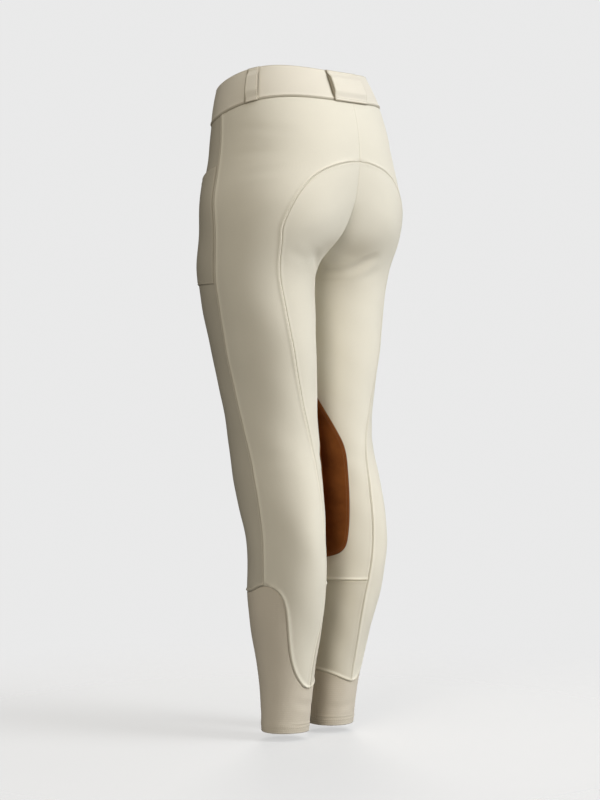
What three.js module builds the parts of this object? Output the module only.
import * as THREE from 'three';

// Riding breeches in the shape they are worn in, with nobody inside.
// Millimetres, +Z up, the front faces -Y, the wearer's left is +X.
// The origin is the middle of the waistband. Everything is cut for the left half and mirrored.

// Walls of cloth
const CLOTH = 1.5;
const BAND_CLOTH = 2.4;
const KNIT = 1.3;
const SUEDE = 1.2;
const LOOP_CLOTH = 2;
const POCKET_CLOTH = 1.2;
const ZIP_TAPE = 1.1;

// Half of the gap that a seam leaves between two panels, and the gap under a piece laid on a panel
const SEAM_INSET = 0.15;
const LAID_GAP = 0.5;
const PATCH_GAP = 0.8;

// Heights
const CROTCH_Z = -264;
const KNEE_SEAM_Z = -740;
const HEM_Z = -965;

// Waistband: it stands a little proud. Its edges rise towards the back, with a small dip at the centre
const BAND_PROUD = 0.6;
const BAND_TOP = { side: 21, rise: 28.5, bow: 7.5, dip: 14.5 };
const BAND_BOTTOM = { side: -33, rise: 34, bow: 2, dip: 18 };
const SIDE_SEAM_AT = 0.445;
const LAP_DROP = 2.9;
const LAP_RAMP = { from: 34, to: 6 };

// Belt loops: their widths, their places as shares of the half ring (0 front, 1 back), and the room
// that they leave for a belt, reached over a share of their height from each end. They start just
// under the band's top edge and end just below its foot
const BELT_ROOM = 3.5;
const LOOP_RISE = { from: 0.1, to: 0.3 };
const LOOP_WIDE = 70;
const LOOP_NARROW = 19;
const LOOP_INSET = { top: 1.2, foot: -2 };
const SIDE_LOOP_AT = 0.6;
const FRONT_LOOP_AT = 0.14;

// Thigh pocket: its slanted mouth, how far that stands off, and its other edges
const POCKET_MOUTH = { turn: -0.035, z: -117, slope: 90 };
const POCKET_STAND_OFF = 1.5;
const POCKET_BOTTOM_Z = -292;
const POCKET_FRONT_TURN = -0.34;
const POCKET_REAR_SETBACK = 0.01;

// Zip behind the front seam, and the waist button
const ZIP = { top: -58, bottom: -196, half: 12 };
const BUTTON = { radius: 7.5, thick: 2.6, rim: 2.2, dish: 0.7, chamfer: 0.6, sides: 24 };
const BUTTON_AT = { round: 1.966, z: -26 };

// Outline of the left half, one row per height: its side, back and front points
const SECTIONS = [
  // z, side x, side y, back x, back y, front x, front y
  [45, 119, 2, 0, 87, 0, -88],
  [0, 137, 6, 0, 113, 0, -100],
  [-50, 150, 10, 7, 129, 0, -103],
  [-110, 159, 12, 29, 137, 0, -106],
  [-170, 172, 10, 56, 136, 12, -107],
  [-215, 171, 11, 70, 124, 36, -104],
  [-264, 167, 8, 80, 99, 62, -103],
  [-310, 158, 5, 79, 94, 73, -98],
  [-380, 142, 4, 74, 95, 75, -85],
  [-460, 126, 8, 65, 92, 73, -68],
  [-530, 120, 15, 58, 94, 72, -55],
  [-600, 120, 26, 68, 108, 70, -41],
  [-680, 116, 35, 74, 119, 62, -20],
  [-760, 114, 35, 62, 110, 60, -19],
  [-840, 101, 34, 52, 89, 57, -13],
  [-905, 91, 32, 48, 75, 54, -6],
  [-970, 88, 31, 47, 65, 52, -4],
];

// Inner side of the leg: below zero it lies beyond the middle plane, where the two halves meet instead
const INNER_SIDE = [
  // z, x
  [45, -119], [0, -128], [-50, -132], [-110, -118], [-170, -88], [-215, -48], [-245, -14],
  [-257, -4.5], [-264, 0.15], [-272, 2.6], [-285, 3.6], [-320, 3.8], [-380, 3.8], [-460, 4.2],
  [-530, 6], [-600, 10], [-680, 13], [-760, 12], [-840, 13], [-905, 15.5], [-970, 16.5],
];

// Soft creases where the cloth bends under the seat
const CREASES = [
  // turn and z of the middle, rise per turn, half length in turns, half width, depth
  [0.62, -258, -150, 0.13, 8, 2.2],
  [0.72, -253, -60, 0.12, 8, 1.6],
];

// Seams run at a turn round the leg for each height: 0 side, 0.5 back, 1 inner, -0.5 front
const SIDE_SEAM = [
  // z, turn
  [-33, -0.055], [-79, -0.042], [-117, -0.035], [-190, -0.024], [-268, -0.032], [-349, -0.037],
  [-430, -0.04], [-508, -0.003], [-584, 0.037], [-640, 0.044], [-740, 0.042],
];
const SEAT_SEAM = [
  // z, turn
  [-216, 0.292], [-259, 0.333], [-303, 0.355], [-347, 0.371], [-383, 0.387], [-423, 0.407],
  [-465, 0.432], [-509, 0.466], [-554, 0.515], [-610, 0.577], [-667, 0.604], [-740, 0.606],
  [-767, 0.603], [-818, 0.57], [-869, 0.528], [-897, 0.52],
];

// The arch over the seat, from the centre back out to the seat seam, row for row with the side seam
const SEAT_ARCH = [
  // turn, z, z of the side seam
  [0.525, -110.5, -124], [0.48, -114.5, -134], [0.43, -121, -145], [0.383, -131, -157],
  [0.35, -145, -170], [0.324, -164, -184], [0.302, -188, -199], [0.292, -216, -216],
];

// Heights of the rows above the arch, and of those from the arch to the seam under the knee
const YOKE_ROWS = [
  // z at the centre back, z at the side seam
  [-50, -62], [-80, -90], [-109, -113],
];
const LEG_ROWS = [
  -234, -240, -247, -254, -264, -274, -290, -318, -348, -380, -412, -444, -476, -508, -540, -572, -604,
  -636, -670, -704, -740,
];

// Edge of the back panel's tongue over the ankle panel, row for row with the seam behind the calf
const TONGUE_EDGE = [
  // turn, z, z of the seam behind the calf
  [0.105, -742, -752], [0.165, -751, -767], [0.207, -770, -788], [0.227, -797, -812],
  [0.243, -826, -838], [0.27, -853, -862], [0.33, -877, -882], [0.43, -894, -897],
];

// Top edge of the ankle panel in front, and lower edge of the calf panel
const SHIN_EDGE = [
  // turn, z
  [-1, -749], [-0.4, -750], [-0.09, -749], [-0.01, -743.5], [0.042, -740],
];
const CALF_EDGE = [
  // turn, z
  [0.52, -897], [0.62, -893.5], [0.75, -887], [0.88, -881.5], [1, -878],
];

// Rear edge of the knee patch; its front edge mirrors it across the inner seam
const KNEE_PATCH = [
  // turn, z
  [0.98, -436], [0.94, -441], [0.9, -451], [0.869, -462], [0.82, -481], [0.77, -501], [0.725, -520],
  [0.702, -533], [0.694, -547], [0.7, -563], [0.72, -590], [0.745, -624], [0.763, -650], [0.778, -672],
  [0.8, -690], [0.85, -700], [0.92, -705],
];

// Facets across each piece
const COLUMNS = { lap: 2, back: 11, seat: 11, front: 16, shin: 14, calf: 6, patch: 12, pocket: 9, zip: 6 };
const ROWS = { band: 3, ankle: 6, pocket: 8, loop: 8, zip: 6 };

// Slopes of a smooth curve through all stations, bending as little as it can
function smoothSlopes(at, value) {
  const n = at.length;
  const step = at.slice(1).map((x, i) => x - at[i]);
  const rise = step.map((h, i) => (value[i + 1] - value[i]) / h);
  const lower = new Array(n).fill(0);
  const main = new Array(n).fill(2);
  const upper = new Array(n).fill(0);
  const right = new Array(n).fill(0);
  upper[0] = 1;
  lower[n - 1] = 1;
  right[0] = 3 * rise[0];
  right[n - 1] = 3 * rise[n - 2];
  for (let i = 1; i < n - 1; i += 1) {
    lower[i] = step[i];
    main[i] = 2 * (step[i - 1] + step[i]);
    upper[i] = step[i - 1];
    right[i] = 3 * (step[i] * rise[i - 1] + step[i - 1] * rise[i]);
  }
  for (let i = 1; i < n; i += 1) {
    const factor = lower[i] / main[i - 1];
    main[i] -= factor * upper[i - 1];
    right[i] -= factor * right[i - 1];
  }
  const slope = new Array(n);
  slope[n - 1] = right[n - 1] / main[n - 1];
  for (let i = n - 2; i >= 0; i -= 1) {
    slope[i] = (right[i] - upper[i] * slope[i + 1]) / main[i];
  }
  return slope;
}

// Slopes that never overshoot a station, for the tight turn at the crotch
function steadySlopes(at, value) {
  const n = at.length;
  const step = at.slice(1).map((x, i) => x - at[i]);
  const rise = step.map((h, i) => (value[i + 1] - value[i]) / h);
  const slope = [rise[0]];
  for (let i = 1; i < n - 1; i += 1) {
    const before = 2 * step[i] + step[i - 1];
    const after = step[i] + 2 * step[i - 1];
    const turns = rise[i - 1] * rise[i] <= 0;
    slope.push(turns ? 0 : (before + after) / (before / rise[i - 1] + after / rise[i]));
  }
  slope.push(rise[n - 2]);
  return slope;
}

// Height of a cubic curve through the stations
function curveAt(at, value, slope, x) {
  let i = 0;
  while (i < at.length - 2 && x > at[i + 1]) {
    i += 1;
  }
  const h = at[i + 1] - at[i];
  const t = Math.min(1, Math.max(0, (x - at[i]) / h));
  const s = 1 - t;
  return value[i] * (1 + 2 * t) * s * s + slope[i] * h * t * s * s
    + value[i + 1] * t * t * (3 - 2 * t) - slope[i + 1] * h * t * t * s;
}

const DEPTHS = SECTIONS.map((row) => -row[0]);
const OUTLINE = [1, 2, 3, 4, 5, 6].map((column) => {
  const value = SECTIONS.map((row) => row[column]);
  return { value, slope: smoothSlopes(DEPTHS, value) };
});
const INNER_DEPTHS = INNER_SIDE.map((row) => -row[0]);
const INNER_X = INNER_SIDE.map((row) => row[1]);
const INNER_SLOPE = steadySlopes(INNER_DEPTHS, INNER_X);

function sectionAt(z) {
  const [sideX, sideY, backX, backY, frontX, frontY] = OUTLINE
    .map((line) => curveAt(DEPTHS, line.value, line.slope, -z));
  const innerX = curveAt(INNER_DEPTHS, INNER_X, INNER_SLOPE, -z);
  return { sideX, sideY, backX, backY, frontX, frontY, innerX };
}

// How deep the creases are at a place
function creaseDepth(turn, z) {
  let depth = 0;
  CREASES.forEach(([middleTurn, middleZ, rise, halfLength, halfWidth, deepest]) => {
    const lengthwise = Math.min(1, Math.abs(turn - middleTurn) / halfLength);
    const crosswise = (z - middleZ - rise * (turn - middleTurn)) / halfWidth;
    depth += deepest * (1 - lengthwise ** 2) ** 2 * Math.exp(-(crosswise ** 2));
  });
  return depth;
}

// A point of the outer face: four quarter ellipses join the side, back, inner and front points,
// and a crease draws it in towards the middle of the leg
function skinPoint(turn, z) {
  const section = sectionAt(z);
  const wrapped = ((turn + 3) % 2) - 1;
  const across = Math.abs(Math.cos(wrapped * Math.PI));
  const along = Math.abs(Math.sin(wrapped * Math.PI));
  const endX = wrapped >= 0 ? section.backX : section.frontX;
  const endY = wrapped >= 0 ? section.backY : section.frontY;
  const flankX = Math.abs(wrapped) <= 0.5 ? section.sideX : section.innerX;
  const backward = section.sideY + along * (endY - section.sideY);
  return new THREE.Vector3(endX + across * (flankX - endX), backward - creaseDepth(wrapped, z), z);
}

// The same point with the direction that faces out of the cloth there
function skin(turn, z) {
  const point = skinPoint(turn, z);
  const round = skinPoint(turn + 0.0005, z).sub(skinPoint(turn - 0.0005, z));
  const up = skinPoint(turn, z + 0.05).sub(skinPoint(turn, z - 0.05));
  return { point, out: round.cross(up).normalize() };
}

// Where the left half meets the middle plane, at the back and at the front
function middleBack(z) {
  if (z <= CROTCH_Z) {
    return 1;
  }
  const { backX, innerX } = sectionAt(z);
  return Math.acos(-Math.min(1, backX / (backX - innerX))) / Math.PI;
}
function middleFront(z) {
  if (z <= CROTCH_Z) {
    return -1;
  }
  const { frontX, innerX } = sectionAt(z);
  return -Math.acos(-Math.min(1, frontX / (frontX - innerX))) / Math.PI;
}

// All round the waist: 0 centre front, 1 centre back, 2 centre front again, left side first
function waist(round, z) {
  const right = round < 0 || round > 1;
  let share = round;
  if (round < 0) {
    share = -round;
  } else if (round > 1) {
    share = 2 - round;
  }
  const front = middleFront(z);
  const place = skin(front + (middleBack(z) - front) * share, z);
  if (right) {
    place.point.x *= -1;
    place.out.x *= -1;
  }
  return place;
}

// Height of a band edge: it rises from the front to the back and dips at the centre back
function bandEdge(edge, round) {
  const back = -Math.cos(round * Math.PI);
  return edge.side + edge.rise * back - edge.bow * back ** 2 - edge.dip * back ** 3;
}

// Turn of a seam at a height, or the height of an edge at a turn
function along(table, x) {
  const ordered = table[0][0] < table[1][0] ? table : table.map(([at, value]) => [-at, value]);
  const at = ordered.map((row) => row[0]);
  const value = ordered.map((row) => row[1]);
  return curveAt(at, value, smoothSlopes(at, value), ordered === table ? x : -x);
}

// Slide the border of a grid into its own cloth, square to the border
function insetBorder(grid, amount) {
  const last = grid.length - 1;
  const foot = grid[0].length - 1;
  const moved = grid.map((column) => column.map((cell) => cell.point.clone()));
  const shift = (i, j, before, after, sign) => {
    const run = after.point.clone().sub(before.point);
    const inward = grid[i][j].out.clone().cross(run).normalize();
    moved[i][j].addScaledVector(inward, sign * amount);
  };
  for (let i = 0; i <= last; i += 1) {
    const before = Math.max(0, i - 1);
    const after = Math.min(last, i + 1);
    shift(i, 0, grid[before][0], grid[after][0], -1);
    shift(i, foot, grid[before][foot], grid[after][foot], 1);
  }
  for (let j = 0; j <= foot; j += 1) {
    const before = Math.max(0, j - 1);
    const after = Math.min(foot, j + 1);
    shift(0, j, grid[0][before], grid[0][after], 1);
    shift(last, j, grid[last][before], grid[last][after], -1);
  }
  grid.forEach((column, i) => column.forEach((cell, j) => cell.point.copy(moved[i][j])));
}

// One closed sheet of cloth from a grid of places: columns run round the body, rows run down it
function sheet(name, material, grid, options = {}) {
  const { proud = () => 0, thick = CLOTH, inset = SEAM_INSET, right = false } = options;
  insetBorder(grid, inset);
  const columns = grid.length;
  const rows = grid[0].length;
  const side = right ? -1 : 1;
  const positions = [];
  const face = (drop) => grid.forEach((column, i) => column.forEach((cell, j) => {
    const lift = proud(i / (columns - 1), j / (rows - 1), cell.point) - drop;
    const p = cell.point.clone().addScaledVector(cell.out, lift);
    positions.push(p.x * side, p.y, p.z);
  }));
  face(0);
  face(thick);
  const outer = (i, j) => i * rows + j;
  const inner = (i, j) => columns * rows + i * rows + j;
  const index = [];
  const quad = (a, b, c, d) => {
    if (right) {
      index.push(a, c, b, a, d, c);
    } else {
      index.push(a, b, c, a, c, d);
    }
  };
  const foot = rows - 1;
  const end = columns - 1;
  for (let i = 0; i < end; i += 1) {
    for (let j = 0; j < foot; j += 1) {
      quad(outer(i, j), outer(i, j + 1), outer(i + 1, j + 1), outer(i + 1, j));
      quad(inner(i + 1, j + 1), inner(i, j + 1), inner(i, j), inner(i + 1, j));
    }
    quad(outer(i, 0), outer(i + 1, 0), inner(i + 1, 0), inner(i, 0));
    quad(outer(i + 1, foot), outer(i, foot), inner(i, foot), inner(i + 1, foot));
  }
  for (let j = 0; j < foot; j += 1) {
    quad(outer(0, j + 1), outer(0, j), inner(0, j), inner(0, j + 1));
    quad(outer(end, j), outer(end, j + 1), inner(end, j + 1), inner(end, j));
  }
  const geometry = new THREE.BufferGeometry();
  geometry.setAttribute('position', new THREE.Float32BufferAttribute(positions, 3));
  geometry.setIndex(index);
  geometry.computeVertexNormals();
  const mesh = new THREE.Mesh(geometry, material);
  mesh.name = name;
  return mesh;
}

// A grid ruled row by row between two edges, each a list of turns and heights
function ruled(from, to, columns) {
  return Array.from({ length: columns + 1 }, (_, i) => from.map(([turn, z], j) => {
    const share = i / columns;
    return skin(turn + (to[j][0] - turn) * share, z + (to[j][1] - z) * share);
  }));
}

// Steps of a grid between two values
function steps(from, to, count) {
  return Array.from({ length: count + 1 }, (_, i) => from + ((to - from) * i) / count);
}

// Give one row of a grid places of its own
function setRow(grid, row, places) {
  grid.forEach((column, i) => {
    column[row] = places[i];
  });
}

const cloth = () => new THREE.MeshStandardMaterial({ color: '#d8d0bd', roughness: 0.92, metalness: 0 });
const knit = () => new THREE.MeshStandardMaterial({ color: '#cabfa9', roughness: 0.95, metalness: 0 });
const suede = () => new THREE.MeshStandardMaterial({ color: '#8b4a1e', roughness: 0.97, metalness: 0 });
const tape = () => new THREE.MeshStandardMaterial({ color: '#cdc4b0', roughness: 0.9, metalness: 0 });
const horn = () => new THREE.MeshStandardMaterial({ color: '#cfc5ae', roughness: 0.4, metalness: 0 });

const named = (name, right) => `${name}_${right ? 'right' : 'left'}`;
const bandFoot = (round) => waist(round, bandEdge(BAND_BOTTOM, round));
const edgeOf = (table, turns) => turns.map((turn) => skin(turn, along(table, turn)));
const sideAt = (z) => [along(SIDE_SEAM, z), z];
const seatAt = (z) => [along(SEAT_SEAM, z), z];

// Front panel: from the centre front and the inner seam to the side seam
function frontPanel(right) {
  const heights = [...YOKE_ROWS.map((row) => row[1]), ...SEAT_ARCH.map((row) => row[2]), ...LEG_ROWS];
  const side = [heights[0], ...heights].map(sideAt);
  const middle = [heights[0], ...heights].map((z) => [middleFront(z), z]);
  const grid = ruled(middle, side, COLUMNS.front);
  setRow(grid, 0, steps(0, SIDE_SEAM_AT, COLUMNS.front).map(bandFoot));
  setRow(grid, heights.length, edgeOf(SHIN_EDGE, steps(-1, SHIN_EDGE.at(-1)[0], COLUMNS.front)));
  return sheet(named('front_panel', right), cloth(), grid, { right });
}

// Outer back panel: from the side seam to the centre back, round the arch and down to the tongue
function backPanel(right) {
  const near = [
    ...[YOKE_ROWS[0], ...YOKE_ROWS].map((row) => sideAt(row[1])),
    ...SEAT_ARCH.map((row) => sideAt(row[2])),
    ...LEG_ROWS.map(sideAt),
    ...TONGUE_EDGE.map(([turn, z]) => [turn, z]),
  ];
  const far = [
    ...[YOKE_ROWS[0], ...YOKE_ROWS].map(([z]) => [middleBack(z), z]),
    ...SEAT_ARCH.map(([turn, z]) => [turn, z]),
    ...LEG_ROWS.map(seatAt),
    ...TONGUE_EDGE.map((row) => seatAt(row[2])),
  ];
  const grid = ruled(near, far, COLUMNS.back);
  setRow(grid, 0, steps(SIDE_SEAM_AT, 1, COLUMNS.back).map(bandFoot));
  return sheet(named('back_panel', right), cloth(), grid, { right });
}

// Seat panel: under the arch, from the seat seam to the centre back and then the inner seam
function seatPanel(right) {
  const near = [...SEAT_ARCH.map(([turn, z]) => [turn, z]), ...LEG_ROWS.map(seatAt)];
  const far = near.map(([, z]) => [middleBack(z), z]);
  return sheet(named('seat_panel', right), cloth(), ruled(near, far, COLUMNS.seat), { right });
}

// Calf panel: inner side of the calf, between the seam under the knee and the ankle panel
function calfPanel(right) {
  const nearHeights = [KNEE_SEAM_Z, ...TONGUE_EDGE.map((row) => row[2])];
  const near = nearHeights.map(seatAt);
  const far = steps(KNEE_SEAM_Z, CALF_EDGE.at(-1)[1], nearHeights.length - 1).map((z) => [1, z]);
  const grid = ruled(near, far, COLUMNS.calf);
  setRow(grid, near.length - 1, edgeOf(CALF_EDGE, steps(CALF_EDGE[0][0], 1, COLUMNS.calf)));
  return sheet(named('calf_panel', right), cloth(), grid, { right });
}

// Ankle panel: stretch cloth over the shin and all round the ankle, joined at the inner seam
function anklePanel(right) {
  const onEdge = (table) => (turn) => [turn, along(table, turn)];
  const shin = steps(-1, SHIN_EDGE.at(-1)[0], COLUMNS.shin).map(onEdge(SHIN_EDGE));
  const calf = steps(CALF_EDGE[0][0], 1, COLUMNS.calf).map(onEdge(CALF_EDGE));
  const top = [...shin, ...TONGUE_EDGE, ...calf];
  const grid = top.map(([turn, z]) => steps(z, HEM_Z, ROWS.ankle).map((height) => skin(turn, height)));
  return sheet(named('ankle_panel', right), knit(), grid, { right, thick: KNIT });
}

// Knee patch: suede laid over the inner seam
function kneePatch(right) {
  const rear = KNEE_PATCH;
  const front = KNEE_PATCH.map(([turn, z]) => [2 - turn, z]);
  const grid = ruled(rear, front, COLUMNS.patch);
  const proud = () => PATCH_GAP + SUEDE;
  return sheet(named('knee_patch', right), suede(), grid, { right, thick: SUEDE, proud });
}

// Thigh pocket on the left front panel, its rear edge beside the side seam, its mouth standing off
function thighPocket() {
  const mouth = (turn) => POCKET_MOUTH.z + (turn - POCKET_MOUTH.turn) * POCKET_MOUTH.slope;
  const heights = steps(0, 1, ROWS.pocket);
  const grid = steps(POCKET_FRONT_TURN, 0, COLUMNS.pocket).map((_, i) => heights.map((v) => {
    const share = i / COLUMNS.pocket;
    const levelZ = POCKET_MOUTH.z + (POCKET_BOTTOM_Z - POCKET_MOUTH.z) * v;
    const rear = along(SIDE_SEAM, levelZ) - POCKET_REAR_SETBACK;
    const turn = POCKET_FRONT_TURN + (rear - POCKET_FRONT_TURN) * share;
    const top = mouth(turn);
    return skin(turn, top + (POCKET_BOTTOM_Z - top) * v);
  }));
  const proud = (u, v) => {
    const open = Math.sin(Math.PI * u) * (1 - v) ** 2;
    return LAID_GAP + POCKET_CLOTH + POCKET_STAND_OFF * open;
  };
  return sheet('thigh_pocket', cloth(), grid, { thick: POCKET_CLOTH, proud });
}

// Waistband: one strip all round, its left end dipping under its right end at the front
function waistband() {
  const behindSeam = steps(SIDE_SEAM_AT, 1, COLUMNS.back).slice(1);
  const half = [...steps(0, SIDE_SEAM_AT, COLUMNS.front), ...behindSeam];
  const lap = half.slice(1, COLUMNS.lap + 1).map((round) => -round).reverse();
  const rounds = [...lap, ...half, ...half.slice(0, -1).map((round) => 2 - round).reverse()];
  const grid = rounds.map((round) => steps(0, 1, ROWS.band).map((v) => {
    const top = bandEdge(BAND_TOP, round);
    return waist(round, top + (bandEdge(BAND_BOTTOM, round) - top) * v);
  }));
  const proud = (u, v, point) => {
    if (u > 0.5) {
      return BAND_PROUD;
    }
    const t = Math.min(1, Math.max(0, (LAP_RAMP.from - point.x) / (LAP_RAMP.from - LAP_RAMP.to)));
    return BAND_PROUD - LAP_DROP * t * t * (3 - 2 * t);
  };
  return sheet('waistband', cloth(), grid, { thick: BAND_CLOTH, proud });
}

// Share of the half ring that a width covers at a place on it
function shareOf(width, round, z) {
  const step = 0.01;
  const nearby = waist(round + step, z).point;
  return (width * step) / waist(round, z).point.distanceTo(nearby);
}

// Belt loop: a strip caught at both edges of the band, with room for a belt behind it
function beltLoop(name, at, width, columns) {
  const half = shareOf(width / 2, at, 0);
  const grid = steps(at - half, at + half, columns).map((round) => {
    const top = bandEdge(BAND_TOP, round) - LOOP_INSET.top;
    const foot = bandEdge(BAND_BOTTOM, round) + LOOP_INSET.foot;
    return steps(top, foot, ROWS.loop).map((z) => waist(round, z));
  });
  const proud = (u, v) => {
    const fromEnd = 0.5 - Math.abs(v - 0.5);
    const t = Math.min(1, Math.max(0, (fromEnd - LOOP_RISE.from) / (LOOP_RISE.to - LOOP_RISE.from)));
    return BAND_PROUD + LAID_GAP + LOOP_CLOTH + BELT_ROOM * t * t * (3 - 2 * t);
  };
  return sheet(name, cloth(), grid, { thick: LOOP_CLOTH, inset: 0, proud });
}

// Zip: a strip behind the centre front, under the two front panels
function zip() {
  const heights = steps(ZIP.top, ZIP.bottom, ROWS.zip);
  const grid = steps(-1, 1, COLUMNS.zip)
    .map((share) => heights.map((z) => waist(share * shareOf(ZIP.half, 0, z), z)));
  return sheet('zip', tape(), grid, { thick: ZIP_TAPE, inset: 0, proud: () => -(CLOTH + LAID_GAP) });
}

// Waist button: a low turned disc in front of the band's right end
function waistButton() {
  const { radius, thick, rim, dish, chamfer } = BUTTON;
  const profile = [
    [0, 0], [radius - chamfer, 0], [radius, chamfer], [radius, thick - chamfer], [radius - chamfer, thick],
    [radius - rim, thick], [radius - rim - chamfer, thick - dish], [0, thick - dish],
  ];
  const outline = profile.map(([x, y]) => new THREE.Vector2(x, y));
  const geometry = new THREE.LatheGeometry(outline, BUTTON.sides);
  const { point, out } = waist(BUTTON_AT.round, BUTTON_AT.z);
  geometry.applyQuaternion(new THREE.Quaternion().setFromUnitVectors(new THREE.Vector3(0, 1, 0), out));
  const seat = point.addScaledVector(out, BAND_PROUD + LAID_GAP);
  geometry.translate(seat.x, seat.y, seat.z);
  const mesh = new THREE.Mesh(geometry, horn());
  mesh.name = 'waist_button';
  return mesh;
}

const breeches = new THREE.Group();
breeches.name = 'riding_breeches';
breeches.add(waistband());
breeches.add(beltLoop('belt_loop_back', 1, LOOP_WIDE, 8));
breeches.add(beltLoop('belt_loop_left', SIDE_LOOP_AT, LOOP_NARROW, 4));
breeches.add(beltLoop('belt_loop_right', 2 - SIDE_LOOP_AT, LOOP_NARROW, 4));
breeches.add(beltLoop('belt_loop_front_left', FRONT_LOOP_AT, LOOP_NARROW, 4));
breeches.add(beltLoop('belt_loop_front_right', 2 - FRONT_LOOP_AT, LOOP_NARROW, 4));
[false, true].forEach((right) => {
  breeches.add(backPanel(right));
  breeches.add(seatPanel(right));
  breeches.add(frontPanel(right));
  breeches.add(kneePatch(right));
  breeches.add(calfPanel(right));
  breeches.add(anklePanel(right));
});
breeches.add(thighPocket());
breeches.add(zip());
breeches.add(waistButton());

export default breeches;
